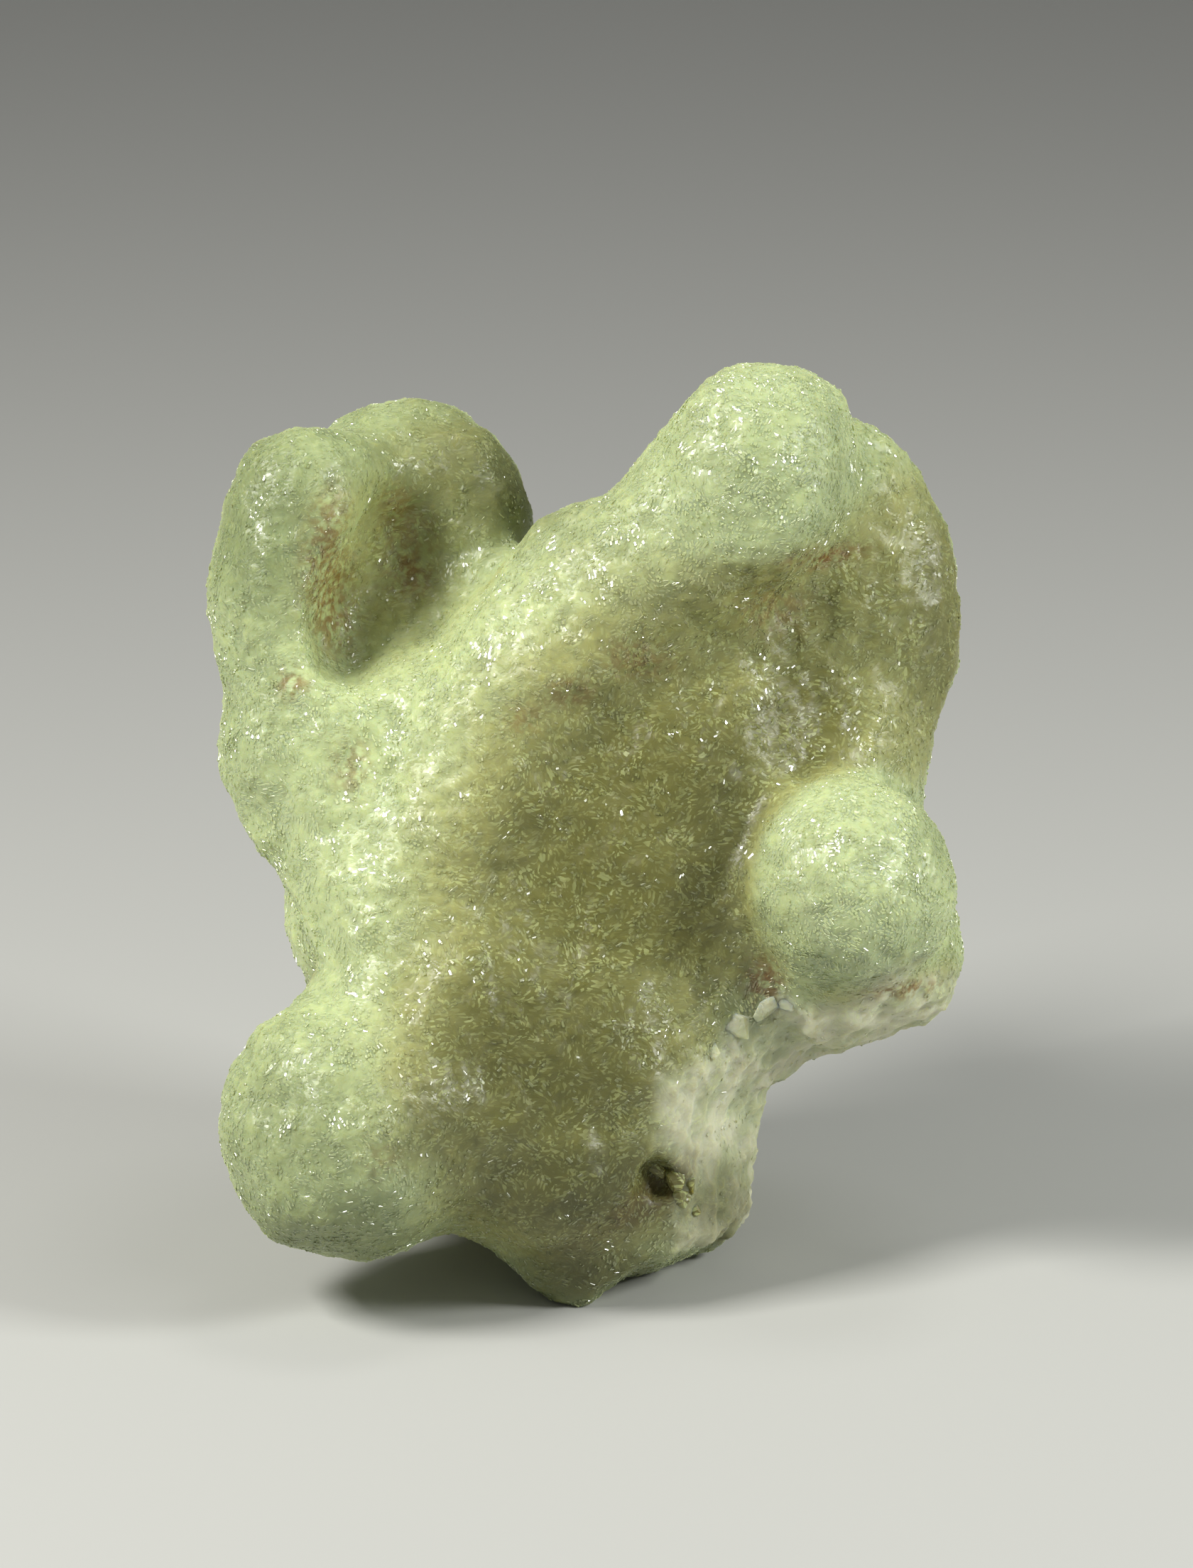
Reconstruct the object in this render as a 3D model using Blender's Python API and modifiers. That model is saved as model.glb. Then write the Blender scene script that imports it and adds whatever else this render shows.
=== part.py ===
"""A prehnite pseudomorph: one pale green stone of crossing, finger-like lobes.

The lobes are set out face on, as the front of the stone is seen. The stone then
leans back onto its broken underside, which is flat and is what it stands on.
"""

from dataclasses import dataclass
from math import radians

import bmesh
import bpy
from mathutils import Euler, Matrix, Vector

MM = 0.001

# Driving dimensions, in millimetres and degrees
LEAN_BACK = 18.0
TOE = Vector((0.0, -4.0, 0.6))
VOXEL = 1.2
PIT_VOXEL = 0.8
FLOOR_HALF = (150.0, 150.0, 20.0)

# How many rounds of smoothing each stage of the growth gets, and how far each goes
CORE_MELT = 36
HOLLOW_MELT = 16
SKIN_MELT = 12
STEP_MELT = 3
BREAK_MELT = 2
MELT_FACTOR = 0.5

# What is raised on the stone and on its breaks: its size across, then its height
LUMPS = (11.0, 2.6)
NODULES = (4.5, 1.0)
STEPS = (6.0, 2.4)

# How fine a ball starts, how fine the finished skin is, and its sharpest edge
ROUND_FACES = (48, 24)
TRIANGLES = 9200
SHARPEST = radians(62.0)
UNFOLD_ROUNDS = 12

NAME = "specimen"
GREEN = (0.47, 0.58, 0.30, 1.0)
ROUGHNESS = 0.42


def turned(turn, nod):
    """The rotation that leans a top turn degrees to the right and nod away."""
    return Euler((radians(-nod), radians(turn), 0.0)).to_matrix().to_4x4()


@dataclass(frozen=True)
class Lobe:
    """One rounded growth: its centre, its half sizes and its turns in degrees.

    x is to the right, y away from the viewer and z up the face.
    """

    place: tuple
    half: tuple
    turn: float = 0.0
    nod: float = 0.0

    def matrix(self):
        """The transform from a unit ball to this lobe."""
        return (
            Matrix.Translation(Vector(self.place) * MM)
            @ turned(self.turn, self.nod)
            @ Matrix.Diagonal((*(Vector(self.half) * MM), 1.0))
        )

    def add_to(self, mesh):
        """Adds the lobe to the editable mesh."""
        around, up = ROUND_FACES
        bmesh.ops.create_uvsphere(
            mesh, u_segments=around, v_segments=up, radius=1.0, matrix=self.matrix()
        )


@dataclass(frozen=True)
class Block(Lobe):
    """A block that broke away. place is the middle of its top, on the break."""

    def add_to(self, mesh):
        """Adds the block to the editable mesh."""
        sunk = Matrix.Translation((0.0, 0.0, -1.0))
        bmesh.ops.create_cube(mesh, size=2.0, matrix=self.matrix() @ sunk)


# The masses that melt into each other
CORE = {
    "front_bar": Lobe((-2, -5, 85), (12.5, 13, 30), turn=48),
    "bar_end": Lobe((14.5, -8, 99.5), (12.5, 13, 17.5), turn=42),
    "bar_hump": Lobe((-1, -4, 92), (10, 11, 11.5)),
    "bar_bend": Lobe((-13, -3, 66), (16, 14, 22), turn=20),
    "left_belly": Lobe((-21.5, -3, 53), (16, 14, 18)),
    "thumb": Lobe((-30.4, -11, 23.8), (16.9, 16, 17.5), turn=5),
    "neck": Lobe((-18, -6, 36), (17, 14, 17)),
    "crook": Lobe((-15.5, -4, 20.4), (9.5, 11, 10.6)),
    "lap": Lobe((-14, -9, 28), (13, 11.5, 15)),
    "left_root": Lobe((-33.5, 0, 72), (14.3, 13, 17.5)),
    "finger": Lobe((-38, -2, 92), (10.3, 11, 20), turn=2),
    "finger_tip": Lobe((-35.8, -3, 101.4), (11.4, 11, 12)),
    "back_lobe": Lobe((-24, 12, 98), (17.2, 13, 20)),
    "middle": Lobe((5, 1, 60), (33, 15.5, 35), turn=25),
    "middle_low": Lobe((-3, -2, 33), (25, 16, 24)),
    "right_flank": Lobe((28.5, 3, 89.5), (20.2, 10, 25.5)),
    "shoulder": Lobe((31, 0, 103.8), (9.6, 9, 10.8)),
    "right_waist": Lobe((29, 3, 68), (15, 12, 18)),
    "hip": Lobe((34, 2, 46), (14, 13, 15)),
    "web": Lobe((24, 4, 33), (11, 12, 11)),
    "toe": Lobe((2, 2, 11.5), (16, 11, 14)),
    "keel": Lobe((-2, 14, 18), (12, 16, 13)),
    "left_under": Lobe((-19, 10, 27), (14, 16, 14)),
    "foot_rock": Lobe((15, 5, 21), (14, 15, 17)),
    "heel_left": Lobe((-15, 32, 24), (15, 12, 15)),
    "heel_right": Lobe((6, 30, 25), (13, 12, 15)),
    "back_bar": Lobe((0, 17, 68), (14, 14, 38), turn=-36),
    "back_left": Lobe((-23, 15, 52), (17, 14, 22)),
    "back_right": Lobe((22, 14, 84), (14, 12, 25), turn=24),
    "back_low": Lobe((-6, 25, 40), (18, 12, 20)),
}

# The soft hollows in them
HOLLOWS = {
    "valley": Lobe((-22, -5, 98), (9, 10, 10), turn=30),
    "valley_low": Lobe((-29, -8, 88), (6.5, 10, 10), turn=15),
    "dish": Lobe((19, -33, 62), (15, 21, 24), turn=20),
    "back_dish": Lobe((-2, 42, 86), (12, 18, 15), turn=20),
}

# The rounder knobs that stand off with a crease
SKIN = {
    "knob": Lobe((20.6, -11, 105.5), (13, 14, 14.8), turn=20),
    "ball": Lobe((32.6, -11, 54), (13.3, 14, 13.7)),
    "chin": Lobe((-4, -7, 20), (14.5, 11.5, 11.5)),
    "back_knob": Lobe((22, 19, 60), (13, 13, 14)),
}

# The pits and grooves
PITS = {
    "pocket": Lobe((8.8, -13, 17), (3.4, 7, 3.8)),
    "groove": Lobe((1.5, -17, 10.8), (1.9, 6, 8), turn=58),
}

# Where the stone broke
BREAKS = {
    "under_ball": Block((37, 8, 33.7), (17, 30, 10), turn=-24, nod=15),
    "under_hip": Block((37, 8, 33.7), (17, 30, 10), turn=-24, nod=-28),
    "hip_edge": Block((37, 8, 34.5), (17, 30, 10), turn=-24, nod=-5),
    "corner": Block((25.6, 10, 26.4), (8, 30, 10), turn=-50, nod=25),
    "foot_side": Block((21.4, 10, 10), (17, 30, 10), turn=-82, nod=27),
    "foot_back": Block((21.4, 10, 10), (17, 30, 10), turn=-82, nod=-25),
    "foot_edge": Block((20.0, 10, 10), (17, 30, 10), turn=-82),
    "toe_left": Block((-8.5, 0, 4.9), (7, 20, 8), turn=42),
    "toe_right": Block((14.6, 0, 8.7), (16, 24, 8), turn=-25, nod=8),
}


def clear_scene():
    """Removes every object."""
    for obj in list(bpy.data.objects):
        bpy.data.objects.remove(obj)


def object_of(name, shapes, grown=None):
    """One object that holds each of the shapes, and what has grown so far."""
    mesh = bmesh.new()
    for shape in shapes:
        shape.add_to(mesh)
    if grown:
        mesh.from_mesh(grown.data)
        bpy.data.objects.remove(grown)
    data = bpy.data.meshes.new(name)
    mesh.to_mesh(data)
    mesh.free()
    obj = bpy.data.objects.new(name, data)
    bpy.context.scene.collection.objects.link(obj)
    return obj


def applied(obj):
    """obj with its modifiers made real."""
    graph = bpy.context.evaluated_depsgraph_get()
    data = bpy.data.meshes.new_from_object(obj.evaluated_get(graph))
    obj.modifiers.clear()
    obj.data = data
    return obj


def melted(obj, voxel, rounds):
    """obj remade as one skin, with its creases smoothed by this many rounds."""
    remesh = obj.modifiers.new("one_skin", "REMESH")
    remesh.mode = "VOXEL"
    remesh.voxel_size = voxel * MM
    smooth = obj.modifiers.new("melt", "SMOOTH")
    smooth.factor = MELT_FACTOR
    smooth.iterations = rounds
    return applied(obj)


def lumped(obj, across, height):
    """obj with lumps of this size and height raised on it."""
    clouds = bpy.data.textures.new("lumps", "CLOUDS")
    clouds.noise_scale = across * MM
    clouds.noise_depth = 1
    lumps = obj.modifiers.new("lumps", "DISPLACE")
    lumps.texture = clouds
    lumps.texture_coords = "LOCAL"
    lumps.strength = height * MM
    lumps.mid_level = 0.5
    return applied(obj)


def without(obj, cutter):
    """obj with the cutter taken out of it."""
    cut = obj.modifiers.new("cut", "BOOLEAN")
    cut.operation = "DIFFERENCE"
    cut.solver = "EXACT"
    cut.object = cutter
    applied(obj)
    bpy.data.objects.remove(cutter)
    return obj


def grown_stone():
    """The whole stone before anything broke off it."""
    core = melted(object_of("core", CORE.values()), VOXEL, CORE_MELT)
    hollows = melted(object_of("hollows", HOLLOWS.values()), VOXEL, STEP_MELT)
    melted(without(core, hollows), VOXEL, HOLLOW_MELT)
    stone = melted(object_of(NAME, SKIN.values(), core), VOXEL, SKIN_MELT)
    return lumped(stone, *LUMPS)


def broken(stone):
    """The stone without its missing piece and its pits, and with nodules."""
    missing = melted(object_of("missing", BREAKS.values()), VOXEL, STEP_MELT)
    missing = melted(lumped(missing, *STEPS), VOXEL, STEP_MELT)
    largest(without(stone, missing))
    lumped(melted(stone, VOXEL, BREAK_MELT), *NODULES)
    pits = melted(object_of("pits", PITS.values()), PIT_VOXEL, STEP_MELT)
    return without(stone, pits)


def largest(obj):
    """obj without the crumbs that its cuts left loose."""
    mesh = bmesh.new()
    mesh.from_mesh(obj.data)
    unseen = set(mesh.verts)
    pieces = []
    while unseen:
        piece = {unseen.pop()}
        edge = list(piece)
        while edge:
            near = {link.other_vert(v) for v in edge for link in v.link_edges}
            edge = list(near & unseen)
            unseen.difference_update(edge)
            piece.update(edge)
        pieces.append(piece)
    pieces.sort(key=len)
    crumbs = [v for piece in pieces[:-1] for v in piece]
    bmesh.ops.delete(mesh, geom=crumbs, context="VERTS")
    mesh.to_mesh(obj.data)
    mesh.free()
    return obj


def reduced(stone, triangles):
    """The stone with about this many triangles."""
    stone.data.calc_loop_triangles()
    fewer = stone.modifiers.new("fewer", "DECIMATE")
    fewer.ratio = triangles / len(stone.data.loop_triangles)
    return applied(stone)


def unfolded(stone):
    """The stone with every edge sharper than SHARPEST relaxed."""
    mesh = bmesh.new()
    mesh.from_mesh(stone.data)
    bmesh.ops.triangulate(mesh, faces=mesh.faces[:])
    for _ in range(UNFOLD_ROUNDS):
        sharp = [edge for edge in mesh.edges if edge.calc_face_angle(0.0) > SHARPEST]
        ends = {vert for edge in sharp for vert in edge.verts}
        near = {link.other_vert(vert) for vert in ends for link in vert.link_edges}
        bmesh.ops.smooth_vert(
            mesh,
            verts=list(ends | near),
            factor=MELT_FACTOR,
            use_axis_x=True,
            use_axis_y=True,
            use_axis_z=True,
        )
    mesh.to_mesh(stone.data)
    mesh.free()
    return stone


def stood_up(stone):
    """The stone leant back about its toe, and cut flat where it stands."""
    lean = Matrix.Rotation(radians(-LEAN_BACK), 4, "X")
    stone.data.transform(lean @ Matrix.Translation(-TOE * MM))
    below = Block((0, 0, 0), FLOOR_HALF)
    return without(stone, object_of("below", [below]))


def centred(stone):
    """Moves the stone so the middle of its box stands on the origin."""
    corners = [Vector(corner) for corner in stone.bound_box]
    low = Vector(map(min, zip(*corners)))
    high = Vector(map(max, zip(*corners)))
    shift = Vector((-(low.x + high.x) / 2, -(low.y + high.y) / 2, -low.z))
    stone.data.transform(Matrix.Translation(shift))
    return shift


def dressed(stone):
    """Gives the stone its green, and shades its skin smooth."""
    green = bpy.data.materials.new("prehnite")
    green.use_nodes = True
    shader = green.node_tree.nodes["Principled BSDF"]
    shader.inputs["Base Color"].default_value = GREEN
    shader.inputs["Roughness"].default_value = ROUGHNESS
    shader.inputs["Metallic"].default_value = 0.0
    green.diffuse_color = GREEN
    stone.data.materials.clear()
    stone.data.materials.append(green)
    stone.data.shade_smooth()


def main():
    """Builds the stone."""
    clear_scene()
    stone = stood_up(unfolded(reduced(broken(grown_stone()), TRIANGLES)))
    centred(stone)
    dressed(stone)
    shelf = bpy.data.collections.new("prehnite pseudomorph")
    bpy.context.scene.collection.children.link(shelf)
    shelf.objects.link(stone)
    bpy.context.scene.collection.objects.unlink(stone)


if __name__ == "__main__":
    main()
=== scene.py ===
"""The looks of a prehnite pseudomorph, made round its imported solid.

The stone is one closed body with a finely crystalline skin. A crust of small low
crystals sits on that skin and lies in swirls. Four pale flakes lie on the broken
side by the ball, and five splinters lie in the pocket near the toe.
"""

from __future__ import annotations

import logging
import math
from dataclasses import dataclass, field
from enum import Enum
from typing import Iterable, Union

import bmesh
import bpy
import numpy as np
from mathutils import Euler, Matrix, Vector, noise
from mathutils.bvhtree import BVHTree


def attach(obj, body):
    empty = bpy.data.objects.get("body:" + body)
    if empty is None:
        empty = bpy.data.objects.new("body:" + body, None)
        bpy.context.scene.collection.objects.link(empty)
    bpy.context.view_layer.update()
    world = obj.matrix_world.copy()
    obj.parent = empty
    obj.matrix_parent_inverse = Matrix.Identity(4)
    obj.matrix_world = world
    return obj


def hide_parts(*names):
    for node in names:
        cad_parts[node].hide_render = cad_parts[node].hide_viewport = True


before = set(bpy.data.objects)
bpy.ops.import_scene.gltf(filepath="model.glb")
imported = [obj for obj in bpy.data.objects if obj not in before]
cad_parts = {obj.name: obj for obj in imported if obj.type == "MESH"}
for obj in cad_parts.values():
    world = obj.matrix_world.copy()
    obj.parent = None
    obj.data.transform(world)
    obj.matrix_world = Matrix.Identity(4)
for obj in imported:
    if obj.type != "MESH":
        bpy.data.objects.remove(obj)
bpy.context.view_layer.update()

LOG = logging.getLogger("prehnite")
MM = 0.001
NODE = "specimen"
BODY = "root"

# The stone's lean, and where its own face-on frame lies, in millimetres and degrees
LEAN_BACK = 18.0
TOE = (0.0, -4.0, 0.6)
TOE_ON_FLOOR = (0.62, -21.87, 0.0)

# How strongly prehnite bends light
PREHNITE_IOR = 1.62

# How far a point moves towards its neighbours' mean in one round of evening out
PULL = 0.6

# Below this, a mark is too weak to raise the surface
LEAST_WEIGHT = 0.02

# Sockets that go by number, because their names are shared or not always there
SCALE_INPUT = 3
DOT_OUTPUT = 1
MIX_SHARE, MIX_FIRST, MIX_SECOND, MIX_RESULT = 0, 6, 7, 2

# Rows of places, one value for each place, and what a node's input takes
Points = np.ndarray
Values = np.ndarray
Socket = bpy.types.NodeSocket
Given = Union[bpy.types.NodeSocket, float, tuple[float, ...]]


class Mark(str, Enum):
    """The values that the pieces store at their points."""

    OLIVE = "olive"
    # Painted shade in the dents and low on the front, partly the stone's own darker green
    HOLLOW = "hollow"
    # How thin the stone is, with painted shade on the greyer areas
    THIN = "thin"
    BROKEN = "broken"
    STAIN = "stain"
    EARTH = "earth"
    GRAIN = "grain"
    BARE = "bare"
    CRUST = "crust"
    QUARTER = "quarter"


@dataclass(frozen=True)
class Rise:
    """A soft step: nought below its low end and one above its high end."""

    low: float
    high: float

    def of(self, values: Values) -> Values:
        """How far up the step each value is.

        Args:
            values: Any values.

        Returns:
            One share a value, from nought to one.
        """
        share = np.clip((values - self.low) / (self.high - self.low), 0.0, 1.0)
        return share * share * (3.0 - 2.0 * share)


@dataclass(frozen=True)
class FaceFrame:
    """The frame in which the front of the stone is seen face on, in millimetres.

    x is to the right, y away from the viewer and z up the face.
    """

    lean: float = LEAN_BACK
    toe: tuple[float, float, float] = TOE
    shift: tuple[float, float, float] = TOE_ON_FLOOR

    def rotation(self) -> Matrix:
        """The rotation from this frame to the stone's."""
        return Matrix.Rotation(math.radians(-self.lean), 3, "X")

    def turn(self) -> np.ndarray:
        """The same rotation, as an array."""
        return np.array(self.rotation())

    def away(self) -> np.ndarray:
        """The direction away from the viewer, in the stone's frame."""
        return np.array(self.turn()[:, 1])

    def points_of(self, points: Points) -> Points:
        """Places of the stone in this frame.

        Args:
            points: Places in the stone's frame, in metres.

        Returns:
            The same places here, in millimetres.
        """
        return (points / MM - np.array(self.shift)) @ self.turn() + np.array(self.toe)

    def place_of(self, x: float, y: float, z: float) -> Vector:
        """A place in the stone's frame, in metres, from one here."""
        face = np.array((x, y, z)) - np.array(self.toe)
        return Vector((face @ self.turn().T + np.array(self.shift)) * MM)


FACE = FaceFrame()


@dataclass(frozen=True)
class Patch:
    """A soft-edged round area, face on: its middle, half sizes, turn and strength.

    The higher the edge value, the sharper the rim.
    """

    middle: tuple[float, float]
    half: tuple[float, float]
    turn: float = 0.0
    strength: float = 1.0
    edge: float = 1.5

    def at(self, face: Points) -> Values:
        """How strongly the area shows at each place.

        Args:
            face: Places in the face-on frame, in millimetres.

        Returns:
            One value a place, the strength at the middle and falling off smoothly.
        """
        angle = math.radians(self.turn)
        x = face[:, 0] - self.middle[0]
        z = face[:, 2] - self.middle[1]
        along = x * math.sin(angle) + z * math.cos(angle)
        across = x * math.cos(angle) - z * math.sin(angle)
        reach = (across / self.half[0]) ** 2 + (along / self.half[1]) ** 2
        return self.strength * np.exp(-(reach**self.edge))


# The olive-brown ground where the crust is thick and flat, partly the stone's own browner colour
# and partly painted shade on the front
OLIVE_AREAS = (
    Patch((5.0, 60.0), (22.0, 34.0), turn=28.0),
    Patch((-4.0, 34.0), (20.0, 19.0)),
    Patch((25.0, 84.0), (15.0, 17.0), strength=0.7),
    Patch((38.0, 86.0), (16.0, 21.0), strength=0.62),
    Patch((-25.0, 95.0), (11.0, 14.0), turn=20.0, strength=0.36),
    Patch((-29.0, 86.0), (6.0, 7.0), turn=20.0, strength=0.22),
    Patch((-3.0, 18.0), (16.0, 12.0), strength=0.8),
    Patch((-16.0, 107.0), (13.0, 11.0), strength=0.3),
    Patch((39.0, 40.0), (10.0, 6.0), strength=0.6),
    Patch((27.0, 75.0), (10.0, 11.0), turn=25.0),
)

# The round lobes that stand clear of the olive ground
CLEAR_AREAS = (
    Patch((33.8, 54.8), (14.0, 14.0), edge=8.0),
    Patch((20.0, 108.0), (16.0, 14.0), edge=4.0, strength=0.8),
)

# Painted shade, partly thinner skin: where the pale skin is made darker than on the ridges
GREYER_SHADE_AREAS = (
    Patch((-43.0, 102.0), (12.0, 17.0), strength=0.95),
    Patch((-32.0, 110.0), (12.0, 9.0), strength=0.7),
    Patch((-16.0, 108.0), (14.0, 12.0), strength=1.0),
    Patch((-36.0, 22.0), (18.0, 16.0), strength=0.5),
    Patch((-45.0, 82.0), (8.0, 20.0), strength=0.5),
    Patch((-30.0, 12.0), (22.0, 9.0), strength=0.7),
    Patch((46.0, 90.0), (7.0, 28.0), strength=0.9),
    Patch((34.0, 100.0), (8.0, 12.0), turn=30.0, strength=0.6),
    Patch((40.0, 44.0), (14.0, 4.0), strength=0.3),
    Patch((22.0, 108.0), (13.0, 12.0), strength=0.3),
)

# Painted shade, partly the stone's own darker green: darker areas in the hollows and on what
# faces down, low on the front
LOW_SHADE_AND_GREEN_AREAS = (
    Patch((-1.0, 17.0), (14.0, 7.0)),
    Patch((-6.0, 31.0), (16.0, 12.0), strength=0.6),
    Patch((0.0, 5.5), (10.0, 6.0), strength=0.95),
    Patch((-32.0, 9.0), (18.0, 7.0), strength=0.4),
    Patch((-17.0, 22.0), (6.0, 11.0), turn=-20.0, strength=0.6),
    Patch((16.0, 60.0), (5.0, 15.0), turn=8.0, strength=0.6),
    Patch((20.0, 47.0), (6.0, 6.0), strength=0.4),
    Patch((15.0, 10.0), (6.0, 6.0), strength=0.5),
    Patch((46.0, 88.0), (5.0, 26.0), strength=0.6),
    Patch((20.0, 12.0), (8.0, 9.0), strength=0.8),
    Patch((-43.0, 104.0), (9.0, 14.0), strength=0.22),
    Patch((-36.0, 24.0), (12.0, 12.0), strength=0.14),
    Patch((-12.0, 107.0), (14.0, 11.0), strength=0.6),
    Patch((16.5, 14.0), (5.0, 6.0), strength=0.95),
)

# The rusty stains on the front
STAINS = (
    Patch((-23.4, 98.2), (4.0, 5.0), strength=0.5),
    Patch((-22.5, 93.0), (3.0, 3.0), strength=0.6),
    Patch((-24.5, 103.0), (2.5, 2.5), strength=0.4),
    Patch((-29.0, 91.0), (5.0, 6.0), strength=0.2),
    Patch((-33.0, 95.0), (3.0, 9.0), turn=8.0, strength=0.8),
    Patch((-32.0, 86.0), (2.5, 4.0), strength=0.5),
    Patch((-37.2, 79.4), (2.2, 2.0), strength=0.8),
    Patch((-29.8, 69.0), (2.5, 4.0), strength=0.55),
    Patch((29.5, 95.3), (5.5, 1.4), turn=-12.0),
    Patch((23.0, 89.0), (5.0, 3.5), strength=0.5),
    Patch((6.0, 82.5), (4.5, 2.5), strength=0.6),
    Patch((-2.5, 78.5), (3.0, 2.0), strength=0.6),
    Patch((-8.0, 75.0), (2.5, 2.0), strength=0.5),
    Patch((-25.5, 20.5), (3.0, 3.0), strength=0.35),
    Patch((22.0, 42.0), (2.6, 3.4)),
    Patch((39.5, 41.2), (5.0, 1.1), turn=-4.0, strength=0.9),
)

# The darker brown in the groove above the toe and in its pocket
EARTH = (
    Patch((3.0, 11.6), (7.0, 2.2), turn=-28.0, strength=0.55),
    Patch((9.5, 16.6), (3.0, 2.4), turn=25.0, strength=0.75),
    Patch((6.5, 14.3), (3.8, 1.5), turn=-32.0, strength=0.7),
    Patch((12.3, 18.8), (1.6, 2.8), turn=25.0, strength=0.5),
    Patch((8.5, 14.0), (5.5, 4.5), turn=35.0, strength=0.35),
)


@dataclass(frozen=True)
class Break:
    """A flat where a block broke away: its middle, half sizes and turns, face on.

    Its mark ends a skin's depth above and below the flat, and fades as far beyond its rim.
    """

    middle: tuple[float, float, float]
    half: tuple[float, float]
    turn: float
    nod: float = 0.0
    skin: float = 2.2

    def matrix(self) -> np.ndarray:
        """The transform from the flat's own frame to the face-on frame."""
        tilt = Euler((math.radians(-self.nod), math.radians(self.turn), 0.0))
        return np.array(Matrix.Translation(self.middle) @ tilt.to_matrix().to_4x4())

    def at(self, face: Points) -> Values:
        """How strongly the break shows at each place.

        Args:
            face: Places in the face-on frame, in millimetres.

        Returns:
            One at places on the flat, falling to nothing away from it.
        """
        inverse = np.linalg.inv(self.matrix())
        own = face @ inverse[:3, :3].T + inverse[:3, 3]
        depth = np.abs(own[:, 2]) / self.skin
        beyond = np.abs(own[:, :2]) - np.array(self.half)
        outside = np.clip(beyond.max(1) / self.skin, 0.0, None)
        return np.exp(-(depth**4) - outside**2)


BREAKS = (
    Break((37, 8, 33.7), (17, 30), turn=-24, nod=15),
    Break((37, 8, 33.7), (17, 30), turn=-24, nod=-28),
    Break((37, 8, 34.5), (17, 30), turn=-24, nod=-5),
    Break((25.6, 10, 26.4), (8, 30), turn=-50, nod=25),
    Break((21.4, 10, 10), (17, 30), turn=-82, nod=27),
    Break((21.4, 10, 10), (17, 30), turn=-82, nod=-25),
    Break((20.0, 10, 10), (17, 30), turn=-82),
)

# The outline of the broken side, face on: its edge from the ball down, then round its foot
BREAK_EDGE = ((46.0, 40.5), (34.0, 39.5), (24.0, 38.5), (17.0, 36.0), (13.5, 30.0), (9.0, 27.0))
BREAK_FOOT = ((9.5, 22.0), (12.0, 18.0), (16.0, 8.0), (30.0, 4.0), (60.0, 20.0), (60.0, 40.0))


def strongest(areas: Iterable[Patch | Break], face: Points) -> Values:
    """The strongest of several areas at each place.

    Args:
        areas: The areas.
        face: Places in the face-on frame, in millimetres.

    Returns:
        One value a place.
    """
    return np.max([area.at(face) for area in areas], axis=0)


def heaped(areas: Iterable[Patch], face: Points) -> Values:
    """Several areas added up at each place, to one at most.

    Args:
        areas: The areas.
        face: Places in the face-on frame, in millimetres.

    Returns:
        One value a place.
    """
    return np.clip(sum(area.at(face) for area in areas), 0.0, 1.0)


def inside(face: Points, outline: Iterable[tuple[float, float]], soft: float) -> Values:
    """How far inside an outline each place lies, face on.

    Args:
        face: Places in the face-on frame, in millimetres.
        outline: The corners of a closed outline, as x and z.
        soft: The width of its soft edge, in millimetres.

    Returns:
        One well inside, one half on the edge and nothing outside.
    """
    corners = np.array(list(outline), float)
    ends = np.roll(corners, -1, axis=0)
    place = face[:, [0, 2]]
    crossings = np.zeros(len(place), bool)
    nearest = np.full(len(place), np.inf)
    for start, end in zip(corners, ends):
        step = end - start
        share = np.clip((place - start) @ step / (step @ step), 0.0, 1.0)
        gap = place - start - share[:, None] * step
        nearest = np.minimum(nearest, np.linalg.norm(gap, axis=1))
        spans = (start[1] > place[:, 1]) != (end[1] > place[:, 1])
        rise = end[1] - start[1] if end[1] != start[1] else 1.0
        cut = start[0] + (place[:, 1] - start[1]) * step[0] / rise
        crossings ^= spans & (place[:, 0] < cut)
    signed = np.where(crossings, nearest, -nearest)
    return np.clip(0.5 + signed / (2.0 * soft), 0.0, 1.0)


class Skin:
    """A mesh as arrays: its points, normals and which points touch."""

    def __init__(self, data: bpy.types.Mesh) -> None:
        """Reads a mesh.

        Args:
            data: The mesh. It isn't changed.
        """
        count = len(data.vertices)
        self.points = self.rows(data, "co")
        self.normals = self.rows(data, "normal")
        edges = np.empty(len(data.edges) * 2, np.int32)
        data.edges.foreach_get("vertices", edges)
        edges = edges.reshape(-1, 2)
        self.starts = np.concatenate([edges[:, 0], edges[:, 1]])
        self.ends = np.concatenate([edges[:, 1], edges[:, 0]])
        self.touching = np.maximum(np.bincount(self.starts, minlength=count), 1)

    @staticmethod
    def rows(data: bpy.types.Mesh, what: str) -> Points:
        """A vector that each point of a mesh has.

        Args:
            data: The mesh.
            what: The vector's name.

        Returns:
            One row a point.
        """
        rows = np.empty(len(data.vertices) * 3, np.float32)
        data.vertices.foreach_get(what, rows)
        return rows.reshape(-1, 3).astype(float)

    def relaxed(self, values: np.ndarray, rounds: int) -> np.ndarray:
        """Values evened out along the surface.

        Args:
            values: One row a point.
            rounds: How many times each point moves towards its neighbours' mean.

        Returns:
            The evened values.
        """
        count = len(self.points)
        table = values.reshape(count, -1).astype(float)
        for _ in range(rounds):
            mean = np.stack(
                [
                    np.bincount(self.starts, column[self.ends], count) / self.touching
                    for column in table.T
                ],
                axis=1,
            )
            table = (1.0 - PULL) * table + PULL * mean
        return table.reshape(values.shape)

    def dent(self, rounds: int, evened: int) -> Values:
        """How far each point lies below its surroundings.

        Args:
            rounds: How far the surroundings reach, as rounds of evening out.
            evened: The rounds by which the result itself is evened out.

        Returns:
            One depth a point, in millimetres.
        """
        around = self.relaxed(self.points, rounds)
        depth = ((around - self.points) * self.normals).sum(1) / MM
        return self.relaxed(depth, evened)


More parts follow.
